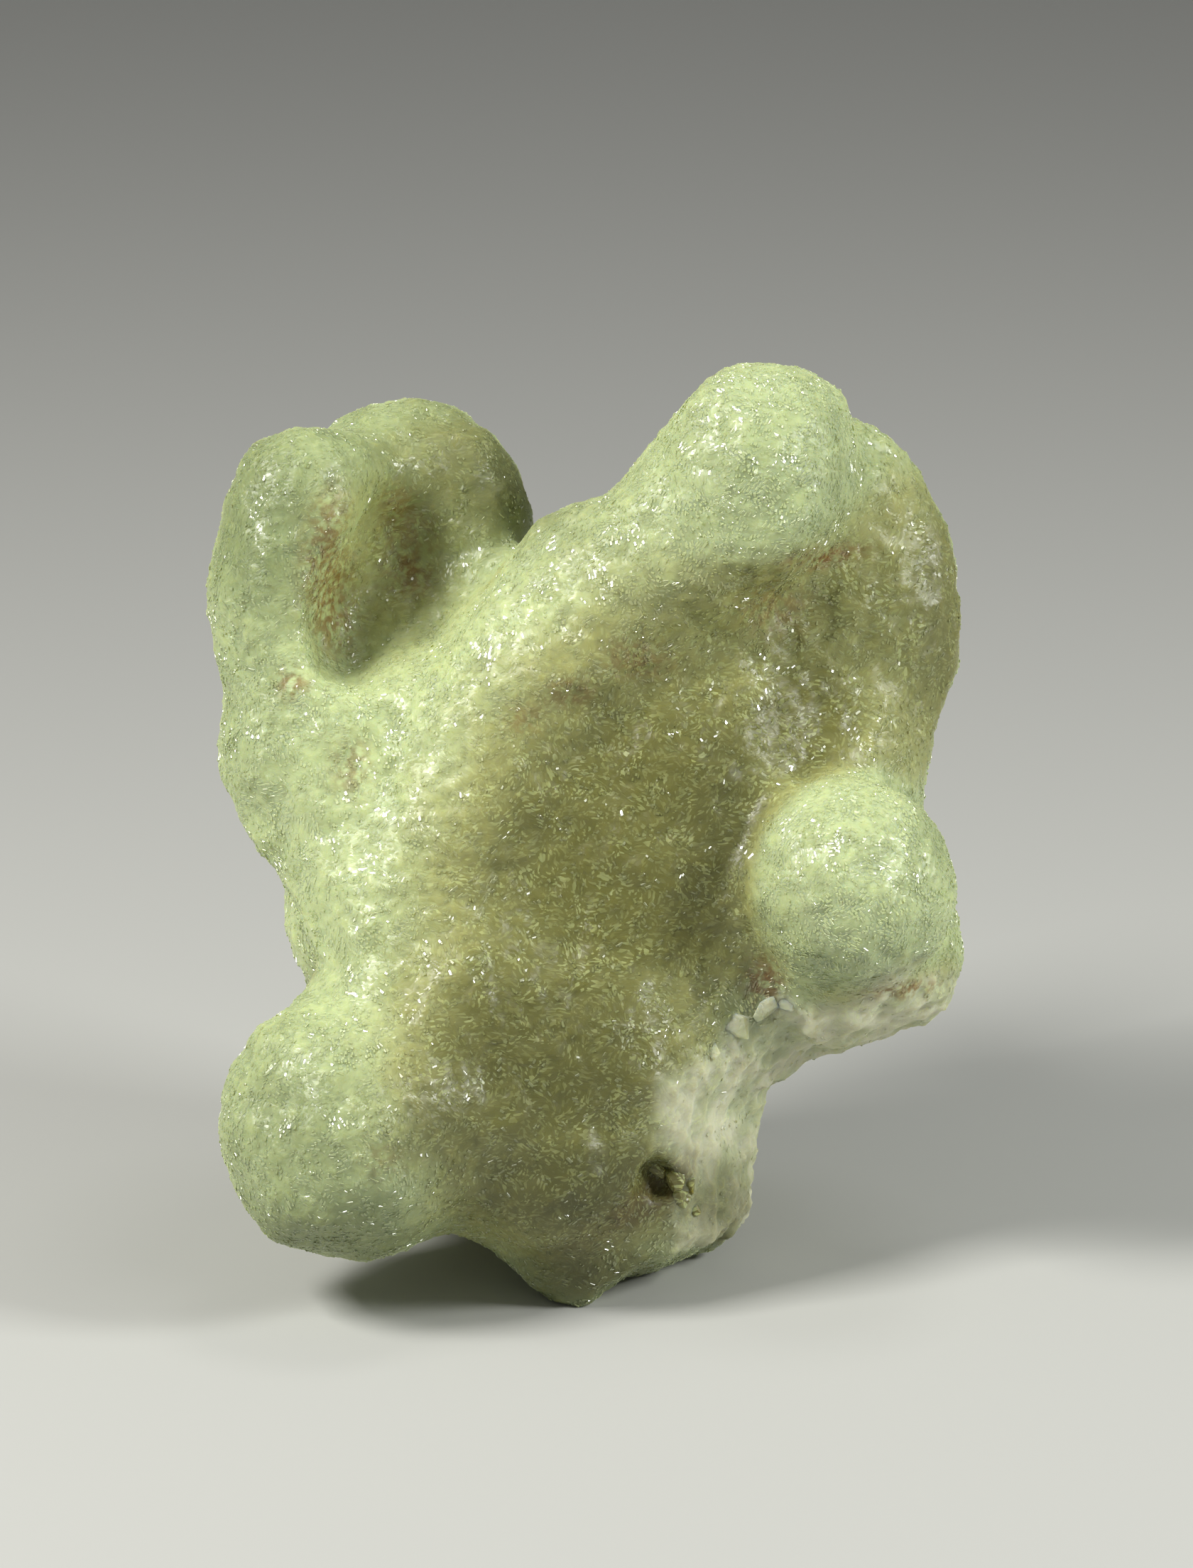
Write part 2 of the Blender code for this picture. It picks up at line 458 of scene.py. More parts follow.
def read_mark(data: bpy.types.Mesh, mark: Mark) -> Values:
    """The value that a mesh stores at each point.

    Args:
        data: The mesh.
        mark: Which value.

    Returns:
        One value a point.
    """
    values = np.empty(len(data.vertices), np.float32)
    data.attributes[mark.value].data.foreach_get("value", values)
    return values


def write_mark(data: bpy.types.Mesh, mark: Mark, values: Values) -> None:
    """Stores one value a point on a mesh."""
    layer = data.attributes.new(mark.value, "FLOAT", "POINT")
    layer.data.foreach_set("value", values.astype(np.float32))


@dataclass(frozen=True)
class Relief:
    """Noise that raises a surface: its size across and its height, in metres.

    Where a mark is named, the surface rises only there.
    """

    across: float
    height: float
    kind: str = "CLOUDS"
    where: Mark | None = None

    def raise_on(self, obj: bpy.types.Object) -> None:
        """Adds the relief to an object, as a modifier.

        Args:
            obj: The object.
        """
        pattern = bpy.data.textures.new("relief", self.kind)
        pattern.noise_scale = self.across
        raised = obj.modifiers.new("relief", "DISPLACE")
        raised.texture = pattern
        raised.texture_coords = "LOCAL"
        raised.strength = self.height
        raised.mid_level = 0.5
        if self.where is not None:
            raised.vertex_group = self.group_on(obj).name

    def group_on(self, obj: bpy.types.Object) -> bpy.types.VertexGroup:
        """A vertex group with the weights of the relief's mark.

        Args:
            obj: The object that stores the mark and gets the group.

        Returns:
            The group.
        """
        values = read_mark(obj.data, self.where)
        group = obj.vertex_groups.new(name="where")
        for index in np.flatnonzero(values > LEAST_WEIGHT):
            group.add([int(index)], float(values[index]), "REPLACE")
        return group


def made_plain(obj: bpy.types.Object) -> bpy.types.Object:
    """Makes an object's modifiers real and drops them.

    Args:
        obj: The object.

    Returns:
        The same object, with its new mesh.
    """
    graph = bpy.context.evaluated_depsgraph_get()
    data = bpy.data.meshes.new_from_object(obj.evaluated_get(graph))
    obj.modifiers.clear()
    obj.vertex_groups.clear()
    obj.data = data
    return obj


def object_from(name: str, data: bpy.types.ID) -> bpy.types.Object:
    """Puts mesh, lamp or camera data into the scene.

    Args:
        name: The object's name.
        data: The data.

    Returns:
        The new object.
    """
    obj = bpy.data.objects.new(name, data)
    bpy.context.scene.collection.objects.link(obj)
    return obj


def data_from(name: str, mesh: bmesh.types.BMesh) -> bpy.types.Mesh:
    """Turns a mesh that was being built into mesh data, and frees it.

    Args:
        name: The data's name.
        mesh: The mesh. It can't be used any more.

    Returns:
        The mesh data.
    """
    data = bpy.data.meshes.new(name)
    mesh.to_mesh(data)
    mesh.free()
    return data


def finder_of(data: bpy.types.Mesh) -> BVHTree:
    """A tree that finds the faces of a mesh.

    Args:
        data: The mesh.

    Returns:
        The tree.
    """
    return BVHTree.FromPolygons(
        [v.co for v in data.vertices], [tuple(f.vertices) for f in data.polygons]
    )


def lift_off_floor(data: bpy.types.Mesh) -> None:
    """Lifts what lies below the floor up to it.

    Args:
        data: The mesh, which is changed.
    """
    points = np.empty(len(data.vertices) * 3, np.float32)
    data.vertices.foreach_get("co", points)
    points[2::3] = np.maximum(points[2::3], 0.0)
    data.vertices.foreach_set("co", points)
    data.update()


@dataclass(frozen=True)
class Tone:
    """A colour as linear red, green and blue."""

    red: float
    green: float
    blue: float

    def rgb(self) -> tuple[float, float, float]:
        """The colour alone."""
        return (self.red, self.green, self.blue)

    def rgba(self) -> tuple[float, float, float, float]:
        """The colour with full alpha."""
        return (self.red, self.green, self.blue, 1.0)


class Tree:
    """A shader or geometry tree that is being written."""

    def __init__(self, tree: bpy.types.NodeTree) -> None:
        """Takes a tree to write.

        Args:
            tree: The node tree.
        """
        self.tree = tree

    def node(self, kind: str, **settings: object) -> bpy.types.Node:
        """Adds a node.

        Args:
            kind: The node's kind.
            **settings: Its properties.

        Returns:
            The node.
        """
        made = self.tree.nodes.new(kind)
        for name, value in settings.items():
            setattr(made, name, value)
        return made

    def put(self, socket: Socket, value: Given) -> None:
        """Links an output to an input, or sets the input to a constant.

        Args:
            socket: The input.
            value: The output or the constant.
        """
        if isinstance(value, bpy.types.NodeSocket):
            self.tree.links.new(value, socket)
        else:
            socket.default_value = value

    def math(self, what: str, first: Given, second: Given, third: Given = 0.0) -> Socket:
        """The result of a Math node.

        Args:
            what: The node's operation.
            first: Its first input.
            second: Its second input.
            third: Its third input, where the operation has one.

        Returns:
            The node's output.
        """
        made = self.node("ShaderNodeMath", operation=what)
        for socket, value in zip(made.inputs, (first, second, third)):
            self.put(socket, value)
        return made.outputs[0]

    def vector(self, what: str, first: Given, second: Given) -> Socket:
        """The result of a Vector Math node.

        Args:
            what: The node's operation.
            first: Its first input.
            second: Its second input.

        Returns:
            The node's output, which is a value for a dot product.
        """
        made = self.node("ShaderNodeVectorMath", operation=what)
        self.put(made.inputs[0], first)
        self.put(made.inputs[1], second)
        return made.outputs[DOT_OUTPUT if what == "DOT_PRODUCT" else 0]

    def scaled(self, vector: Given, size: Given) -> Socket:
        """A vector times a value.

        Args:
            vector: The vector.
            size: The value.

        Returns:
            The scaled vector.
        """
        made = self.node("ShaderNodeVectorMath", operation="SCALE")
        self.put(made.inputs[0], vector)
        self.put(made.inputs[SCALE_INPUT], size)
        return made.outputs[0]

    def swing(self, colour: Socket) -> Socket:
        """A random colour as a vector, each way from minus a half to a half."""
        return self.vector("SUBTRACT", colour, (0.5, 0.5, 0.5))

    def ramp(self, value: Given, rise: Rise) -> Socket:
        """How far up a soft step a value is.

        Args:
            value: The value.
            rise: The step.

        Returns:
            The share, from nought to one.
        """
        made = self.node("ShaderNodeMapRange", interpolation_type="SMOOTHSTEP")
        self.put(made.inputs["Value"], value)
        made.inputs["From Min"].default_value = rise.low
        made.inputs["From Max"].default_value = rise.high
        return made.outputs["Result"]

    def mix(self, share: Given, first: Given, second: Given) -> Socket:
        """Two colours mixed.

        Args:
            share: How much of the second there is.
            first: The first colour.
            second: The second colour.

        Returns:
            The mixed colour.
        """
        made = self.node("ShaderNodeMix", data_type="RGBA")
        self.put(made.inputs[MIX_SHARE], share)
        self.put(made.inputs[MIX_FIRST], first)
        self.put(made.inputs[MIX_SECOND], second)
        return made.outputs[MIX_RESULT]

    def mark(self, mark: Mark) -> Socket:
        """The value that a mesh stores under this mark, in a shader tree."""
        made = self.node("ShaderNodeAttribute", attribute_name=mark.value)
        return made.outputs["Fac"]

    def named(self, mark: Mark) -> Socket:
        """The value that a mesh stores under this mark, in a geometry tree.

        Args:
            mark: The mark.

        Returns:
            The value.
        """
        made = self.node("GeometryNodeInputNamedAttribute", data_type="FLOAT")
        made.inputs["Name"].default_value = mark.value
        return made.outputs["Attribute"]

    def chance(self, kind: str, low: Given, high: Given, seed: int) -> Socket:
        """A random value between two, the same in each run.

        Args:
            kind: FLOAT for a value, or FLOAT_VECTOR for a vector.
            low: The least.
            high: The most.
            seed: The seed.

        Returns:
            The value.
        """
        made = self.node("FunctionNodeRandomValue", data_type=kind)
        ends = [socket for socket in made.inputs if socket.enabled]
        self.put(ends[0], low)
        self.put(ends[1], high)
        made.inputs["Seed"].default_value = seed
        return next(socket for socket in made.outputs if socket.enabled)

    def noise(self, place: Given, across: float, detail: float) -> bpy.types.Node:
        """Adds noise.

        Args:
            place: Where it is read.
            across: Its size, in metres.
            detail: How many finer layers it has.

        Returns:
            The noise's node.
        """
        made = self.node("ShaderNodeTexNoise")
        self.put(made.inputs["Vector"], place)
        made.inputs["Scale"].default_value = 1.0 / across
        made.inputs["Detail"].default_value = detail
        return made

    def cells(self, place: Given, density: Given) -> bpy.types.Node:
        """Adds a pattern of random cells.

        Args:
            place: Where it is read.
            density: How many cells there are in a metre.

        Returns:
            The pattern's node.
        """
        made = self.node("ShaderNodeTexVoronoi")
        self.put(made.inputs["Vector"], place)
        self.put(made.inputs["Scale"], density)
        return made


class Surface(Tree):
    """The tree of a new material, written round its one shader."""

    def __init__(self, name: str) -> None:
        """Makes the material.

        Args:
            name: The material's name.
        """
        self.material = bpy.data.materials.new(name)
        self.material.use_nodes = True
        super().__init__(self.material.node_tree)
        self.shader = self.tree.nodes["Principled BSDF"]

    def place(self) -> Socket:
        """The object coordinates."""
        return self.node("ShaderNodeTexCoord").outputs["Object"]

    def give(self, name: str, value: Given) -> None:
        """Gives one of the shader's inputs an output or a constant."""
        self.put(self.shader.inputs[name], value)


@dataclass(frozen=True)
class Grains:
    """The crystal grains of the skin, in fans of one direction, sizes in metres.

    Length is how many times longer than wide a grain is. The fans are bent by waves
    whose size is bend, as a share of a fan, and whose reach is warp. Patch is the size
    of the clusters in which the grains lie bare, and least is how bare they are between
    them. Slopes are how steeply the faces of a fan and of a grain can tilt, and satin is
    the share of the grains' tilt that the smoother skin keeps.
    """

    fan: float = 0.0026
    grain: float = 0.00027
    length: float = 3.0
    bend: float = 0.7
    warp: float = 0.0009
    patch: float = 0.0028
    clusters: Rise = Rise(-0.25, 0.4)
    least: float = 0.35
    fan_slope: float = 0.68
    grain_slope: float = 0.6
    satin: float = 0.3

    def bareness(self, points: Points) -> Values:
        """One where the grains lie bare in clusters, and less where the skin is smoother.

        Args:
            points: Places on the stone, in metres.

        Returns:
            One value a place.
        """
        size, roughness, gap, layers = 1.0 / self.patch, 1.0, 2.0, 2
        patches = np.array(
            [noise.fractal(Vector(point) * size, roughness, gap, layers) for point in points]
        )
        return self.least + (1.0 - self.least) * self.clusters.of(patches)

    def write(self, tree: Tree, place: Socket, bare: Socket) -> tuple[Socket, Socket]:
        """Writes the pattern into a shader tree.

        Args:
            tree: The shader tree.
            place: The object coordinates.
            bare: How bare the grains lie, from nought to one.

        Returns:
            The height of the grains' faces in metres, and a colour for each grain.
        """
        swing = tree.swing(tree.noise(place, self.bend * self.fan, 0.0).outputs["Color"])
        bent = tree.vector("ADD", place, tree.scaled(swing, self.warp))
        fans = tree.cells(bent, 1.0 / self.fan)
        turned = tree.node("ShaderNodeVectorRotate", rotation_type="EULER_XYZ")
        own = tree.vector("SUBTRACT", bent, fans.outputs["Position"])
        tree.put(turned.inputs["Vector"], own)
        turn = tree.scaled(fans.outputs["Color"], 2.0 * math.pi)
        tree.put(turned.inputs["Rotation"], turn)
        drawn = tree.vector("MULTIPLY", turned.outputs[0], (1.0, 1.0, 1.0 / self.length))
        cells = tree.cells(drawn, 1.0 / self.grain)
        offset = tree.vector("SUBTRACT", drawn, cells.outputs["Position"])
        lean = tree.swing(fans.outputs["Color"])
        lean = tree.scaled(lean, tree.math("MULTIPLY", bare, self.fan_slope))
        kept = self.satin * self.grain_slope
        slope = tree.math("MULTIPLY_ADD", bare, (1.0 - self.satin) * self.grain_slope, kept)
        tilt = tree.scaled(tree.swing(cells.outputs["Color"]), slope)
        height = tree.vector("DOT_PRODUCT", offset, tree.vector("ADD", lean, tilt))
        return height, cells.outputs["Color"]


@dataclass(frozen=True)
class StoneFinish:
    """The finish of the body: milky green, olive where thick and partly painted shade, rusty
    where stained, with painted shade in dents and low areas.

    The milk is how far light goes into the skin, in metres, its weight the milk's share
    of the colour and its reach how far each of red, green and blue goes in. The cloud and
    the fleck are noise, each a size across in metres and its detail. A Rise says between
    which values of its noise, mark or grain a change sets in.
    """

    pale: Tone = Tone(0.53, 0.605, 0.31)
    # Also the colour of the painted shade on the greyer areas
    grey_green: Tone = Tone(0.285, 0.345, 0.16)
    tan: Tone = Tone(0.365, 0.37, 0.145)
    # The stone's own browner colour, partly standing in as painted shade on the front
    olive: Tone = Tone(0.145, 0.142, 0.032)
    # Painted shade in the dents and low on the front, partly the stone's own darker green
    hollow: Tone = Tone(0.09, 0.09, 0.022)
    broken: Tone = Tone(0.60, 0.60, 0.43)
    rust: Tone = Tone(0.22, 0.125, 0.035)
    earth: Tone = Tone(0.11, 0.09, 0.025)
    dash: Tone = Tone(0.72, 0.80, 0.38)
    milk: float = 0.0020
    milk_weight: float = 0.85
    milk_reach: tuple[float, float, float] = (1.3, 1.0, 0.5)
    specular: float = 0.38
    cloud: tuple[float, float] = (0.006, 3.0)
    fleck: tuple[float, float] = (0.0011, 2.0)
    unevenness: float = 0.36
    mottling: float = 0.6
    mottling_start: float = 0.58
    tan_from: Rise = Rise(0.0, 0.5)
    olive_from: Rise = Rise(0.35, 1.0)
    grey_from: Rise = Rise(0.42, 0.62)
    grey_share: float = 0.5
    rust_from: Rise = Rise(0.35, 0.6)
    dashes_from: Rise = Rise(0.66, 0.86)
    dashes_least: float = 0.08
    dashes_on_olive: float = 0.9
    bright_from: Rise = Rise(0.58, 0.66)
    satin_roughness: float = 0.46
    bright_less: float = 0.36
    broken_more: float = 0.3
    grains: Grains = Grains()

    def material(self, name: str = "stone_skin") -> bpy.types.Material:
        """The body's material, which is also the chips'.

        Args:
            name: The material's name.

        Returns:
            The material.
        """
        skin = Surface(name)
        place = skin.place()
        bare = skin.mark(Mark.BARE)
        height, cell = self.grains.write(skin, place, bare)
        parts = skin.node("ShaderNodeSeparateColor")
        skin.put(parts.inputs[0], cell)
        pale = skin.math("MULTIPLY", skin.ramp(parts.outputs["Green"], self.dashes_from), bare)
        olive = skin.mark(Mark.OLIVE)
        share = skin.math("MULTIPLY_ADD", olive, self.dashes_on_olive, self.dashes_least)
        share = skin.math("MULTIPLY", pale, share)
        skin.give("Base Color", skin.mix(share, self.colour(skin, place), self.dash.rgba()))
        skin.give("Roughness", self.roughness(skin, parts.outputs["Red"], bare))
        bump = skin.node("ShaderNodeBump")
        skin.put(bump.inputs["Height"], height)
        bump.inputs["Distance"].default_value = 1.0
        skin.give("Normal", bump.outputs[0])
        skin.give("Subsurface Weight", self.milk_weight)
        skin.give("Subsurface Radius", self.milk_reach)
        skin.give("Subsurface Scale", self.milk)
        skin.give("Specular IOR Level", self.specular)
        skin.give("IOR", PREHNITE_IOR)
        return skin.material

    def colour(self, tree: Tree, place: Socket) -> Socket:
        """The skin's colour, from its marks and from noise at two sizes, painted shade included.

        Args:
            tree: The shader tree.
            place: The object coordinates.

        Returns:
            The colour.
        """
        cloud = tree.noise(place, *self.cloud).outputs["Fac"]
        fleck = tree.noise(place, *self.fleck).outputs["Fac"]
        uneven = tree.math("MULTIPLY_ADD", cloud, self.unevenness, -0.5 * self.unevenness)
        olive = tree.math("ADD", tree.mark(Mark.OLIVE), uneven)
        both = tree.math("ADD", fleck, cloud)
        mottled = tree.math("MULTIPLY_ADD", both, self.mottling, -self.mottling_start)
        thin = tree.math("ADD", tree.mark(Mark.THIN), mottled)
        # Painted shade on the greyer areas; thin parts are darker as well
        skin = tree.mix(thin, self.pale.rgba(), self.grey_green.rgba())
        skin = tree.mix(tree.ramp(olive, self.tan_from), skin, self.tan.rgba())
        # Olive is partly the stone's own browner colour and partly painted shade on the front
        skin = tree.mix(tree.ramp(olive, self.olive_from), skin, self.olive.rgba())
        grey = tree.math("MULTIPLY", tree.ramp(cloud, self.grey_from), self.grey_share)
        broken = tree.mix(grey, self.broken.rgba(), self.grey_green.rgba())
        skin = tree.mix(tree.mark(Mark.BROKEN), skin, broken)
        # Painted shade in the dents and low on the front, partly the stone's own darker green
        skin = tree.mix(tree.mark(Mark.HOLLOW), skin, self.hollow.rgba())
        rust = tree.math("MULTIPLY", tree.mark(Mark.STAIN), tree.ramp(fleck, self.rust_from))
        skin = tree.mix(rust, skin, self.rust.rgba())
        return tree.mix(tree.mark(Mark.EARTH), skin, self.earth.rgba())

    def roughness(self, tree: Tree, grain: Socket, bare: Socket) -> Socket:
        """The skin's roughness: a few bright grains in a satin skin, and matt breaks.

        Args:
            tree: The shader tree.
            grain: A random value for each grain.
            bare: How bare the grains lie, from nought to one.

        Returns:
            The roughness.
        """
        bright = tree.math("MULTIPLY", tree.ramp(grain, self.bright_from), bare)
        skin = tree.math("MULTIPLY_ADD", bright, -self.bright_less, self.satin_roughness)
        matt = tree.math("MULTIPLY", tree.mark(Mark.BROKEN), self.broken_more)
        return tree.math("ADD", skin, matt)


@dataclass(frozen=True)
class CrystalFinish:
    """The finish of the crust's crystals: glassier and paler than the skin.

    Each pair is its value for the first crystals, and what the last ones add to it.
    """

    lift: Tone = Tone(0.34, 0.40, 0.19)
    share: tuple[float, float] = (0.10, 0.18)
    roughness: tuple[float, float] = (0.12, 0.24)
    specular: float = 0.85

    def material(self, stone: StoneFinish, name: str = "crystal_faces") -> bpy.types.Material:
        """The crystals' material, which follows the colours of the skin under them.

        Args:
            stone: The skin's finish.
            name: The material's name.

        Returns:
            The material.
        """
        faces = Surface(name)
        # The skin's colour under the crystals, its painted shade included
        ground = stone.colour(faces, faces.place())
        grain = faces.mark(Mark.GRAIN)
        share = faces.math("MULTIPLY_ADD", grain, self.share[1], self.share[0])
        faces.give("Base Color", faces.mix(share, ground, self.lift.rgba()))
        roughness = faces.math("MULTIPLY_ADD", grain, self.roughness[1], self.roughness[0])
        faces.give("Roughness", roughness)
        faces.give("Specular IOR Level", self.specular)
        faces.give("IOR", PREHNITE_IOR)
        return faces.material


@dataclass
class StoneMarks:
    """What the stone's form and its coloured areas say about each point of its skin.

    Depths are in millimetres. A dent's first number says how far its surroundings
    reach and its second how much it is evened out, both as rounds.
    """

    skin: Skin
    broad_dent: tuple[int, int] = (160, 8)
    near_dent: tuple[int, int] = (30, 3)
    facing_front: Rise = Rise(-0.15, 0.35)
    facing_down: Rise = Rise(0.9, 0.99)
    near_floor: Rise = Rise(-0.6, -0.1)
    olive_dents: Rise = Rise(-0.6, 1.6)
    olive_behind: float = 0.9
    ridges: Rise = Rise(1.0, 3.0)
    ridges_less_olive: float = 0.2
    near_hollows: Rise = Rise(0.15, 0.6)
    near_share: float = 0.25
    broad_hollows: Rise = Rise(3.0, 6.5)
    broad_share: float = 0.05
    most_shade: float = 0.95
    low_shade_where_broken: float = 0.8
    soft_edge: float = 1.2
    olive_less_bare: float = 0.72
    low_shade_less_bare: float = 0.5
    broken_less_crust: float = 0.93
    olive_less_crust: float = 0.3
    front_ends: float = 4.0
    thin_share: float = 0.5
    thin_rounds: int = 6

    def __post_init__(self) -> None:
        """Measures the skin once for all its marks."""
        points, normals = self.skin.points, self.skin.normals
        self.face = FACE.points_of(points)
        self.front = self.facing_front.of(-normals @ FACE.away())
        self.broad = self.skin.dent(*self.broad_dent)
        self.near = self.skin.dent(*self.near_dent)
        # Painted shade low on the front, partly the stone's own darker green
        self.low_shade_and_green = self.front * strongest(LOW_SHADE_AND_GREEN_AREAS, self.face)
        low = self.near_floor.of(-points[:, 2] / MM)
        self.below = self.facing_down.of(-normals[:, 2]) * low

    def olive(self) -> Values:
        """How olive the skin is: by its areas in front and by its dents behind, partly as painted
        shade.

        Returns:
            One value a point, from nought to one.
        """
        behind = self.olive_dents.of(self.broad) * self.olive_behind
        olive = self.front * strongest(OLIVE_AREAS, self.face) + (1.0 - self.front) * behind
        ridges = self.ridges.of(-self.broad) * self.ridges_less_olive
        clear = self.front * strongest(CLEAR_AREAS, self.face)
        return np.clip(olive - ridges, 0.0, 1.0) * (1.0 - clear)

    def broken(self) -> Values:
        """Where the stone is broken: on its lower right side and on its underside.

        Returns:
            One value a point, one where it is broken.
        """
        edge = inside(self.face, BREAK_EDGE + BREAK_FOOT, self.soft_edge) * self.front
        flats = strongest(BREAKS, self.face)
        return np.clip(np.maximum(edge, flats) + self.below, 0.0, 1.0)

    def hollow(self, broken: Values) -> Values:
        """How much painted shade the dents and the low front get, there partly the stone's own
        darker green.

        Args:
            broken: The mark of the broken side, which stays paler.

        Returns:
            One value a point.
        """
        near = self.near_hollows.of(self.near) * self.near_share
        broad = self.broad_hollows.of(self.broad) * self.broad_share
        hollow = np.clip(np.maximum(near + broad, self.low_shade_and_green), 0.0, self.most_shade)
        return np.maximum(hollow * (1.0 - broken), self.low_shade_where_broken * self.low_shade_and_green)

    def thin(self, source: bpy.types.Mesh) -> Values:
        """How thin the stone is, and the painted shade of its greyer areas.

        Args:
            source: The mesh before it was remeshed, which stores how thin it is.

        Returns:
            One value a point.
        """
        finder = finder_of(source)
        corners = [f.vertices[0] for f in source.polygons]
        nearest = [corners[finder.find_nearest(Vector(p))[2]] for p in self.skin.points]
        thinness = read_mark(source, Mark.THIN)[nearest].astype(float)
        thin = self.thin_share * self.skin.relaxed(thinness, self.thin_rounds)
        return np.maximum(thin, self.front * strongest(GREYER_SHADE_AREAS, self.face))

    def write(self, data: bpy.types.Mesh, source: bpy.types.Mesh, grains: Grains) -> None:
        """Stores all marks on the body's mesh.

        Args:
            data: The body's mesh.
            source: The mesh before it was remeshed.
            grains: The skin's grains, which say where they lie bare.
        """
        olive, broken = self.olive(), self.broken()
        bare = grains.bareness(self.skin.points) * (1.0 - self.olive_less_bare * olive)
        bare = bare * (1.0 - self.low_shade_less_bare * self.low_shade_and_green)
        crust = (1.0 - self.broken_less_crust * broken) * (1.0 - self.below)
        crust = crust * (1.0 - self.olive_less_crust * olive) * bare
        right = self.face[:, 0] > 0.0
        behind = self.skin.points[:, 1] > self.front_ends * MM
        marks = {
            Mark.OLIVE: olive,
            Mark.HOLLOW: self.hollow(broken),
            Mark.BROKEN: broken,
            Mark.STAIN: self.front * heaped(STAINS, self.face),
            Mark.EARTH: self.front * heaped(EARTH, self.face),
            Mark.BARE: bare,
            Mark.CRUST: crust,
            Mark.QUARTER: right + 2.0 * behind,
            Mark.THIN: self.thin(source),
        }
        for mark, values in marks.items():
            write_mark(data, mark, values)


@dataclass
class StoneBody:
    """The stone itself, one closed mesh with a finely crystalline skin."""

    solid: bpy.types.Object
    weld: float = 1e-6
    levels: int = 2
    voxel: float = 0.69 * MM
    lumps: Relief = Relief(3.0 * MM, 0.75 * MM)
    nodules: Relief = Relief(1.4 * MM, 0.60 * MM)
    splinters: Relief = Relief(2.6 * MM, 1.2 * MM, kind="VORONOI", where=Mark.BROKEN)
    ray_start: float = 0.1 * MM
    thickest: float = 30.0
    thickness_rounds: int = 3
    thick_from: Rise = Rise(8.0, 26.0)
    finish: StoneFinish = field(default_factory=StoneFinish)

    def build(self) -> bpy.types.Object:
        """Makes the body, with its marks and its material.

        Returns:
            The body as an object.
        """
        stone = object_from("stone_body", self.welded())
        write_mark(stone.data, Mark.THIN, self.thinness(stone.data))
        finer = stone.modifiers.new("finer", "SUBSURF")
        finer.levels = finer.render_levels = self.levels
        source = made_plain(stone).data
        even = stone.modifiers.new("even", "REMESH")
        even.mode = "VOXEL"
        even.voxel_size = self.voxel
        made_plain(stone)
        StoneMarks(Skin(stone.data)).write(stone.data, source, self.finish.grains)
        for relief in (self.lumps, self.nodules, self.splinters):
            relief.raise_on(stone)
            made_plain(stone)
        lift_off_floor(stone.data)
        stone.data.shade_smooth()
        stone.data.materials.append(self.finish.material())
        return stone

    def welded(self) -> bpy.types.Mesh:
        """Copies the solid's mesh and joins its loose triangles.

        Returns:
            The copy.
        """
        data = self.solid.data.copy()
        mesh = bmesh.new()
        mesh.from_mesh(data)
        bmesh.ops.remove_doubles(mesh, verts=mesh.verts[:], dist=self.weld)
        mesh.to_mesh(data)
        mesh.free()
        data.materials.clear()
        return data

    def thinness(self, data: bpy.types.Mesh) -> Values:
        """How thin the stone is under each point, by how far a ray goes inside it.

        Args:
            data: The stone's mesh.

        Returns:
            One value a point, from nought to one.
        """
        skin = Skin(data)
        finder = finder_of(data)
        depth = np.empty(len(skin.points))
        for index, (point, normal) in enumerate(zip(skin.points, skin.normals)):
            into = Vector(-normal)
            hit = finder.ray_cast(Vector(point) + into * self.ray_start, into)
            depth[index] = hit[3] / MM if hit[0] is not None else self.thickest
        return 1.0 - self.thick_from.of(skin.relaxed(depth, self.thickness_rounds))


@dataclass(frozen=True)
class Quarter:
    """One quarter of the crust: the name of its piece, and how many crystals it has."""

    name: str
    crystals: int


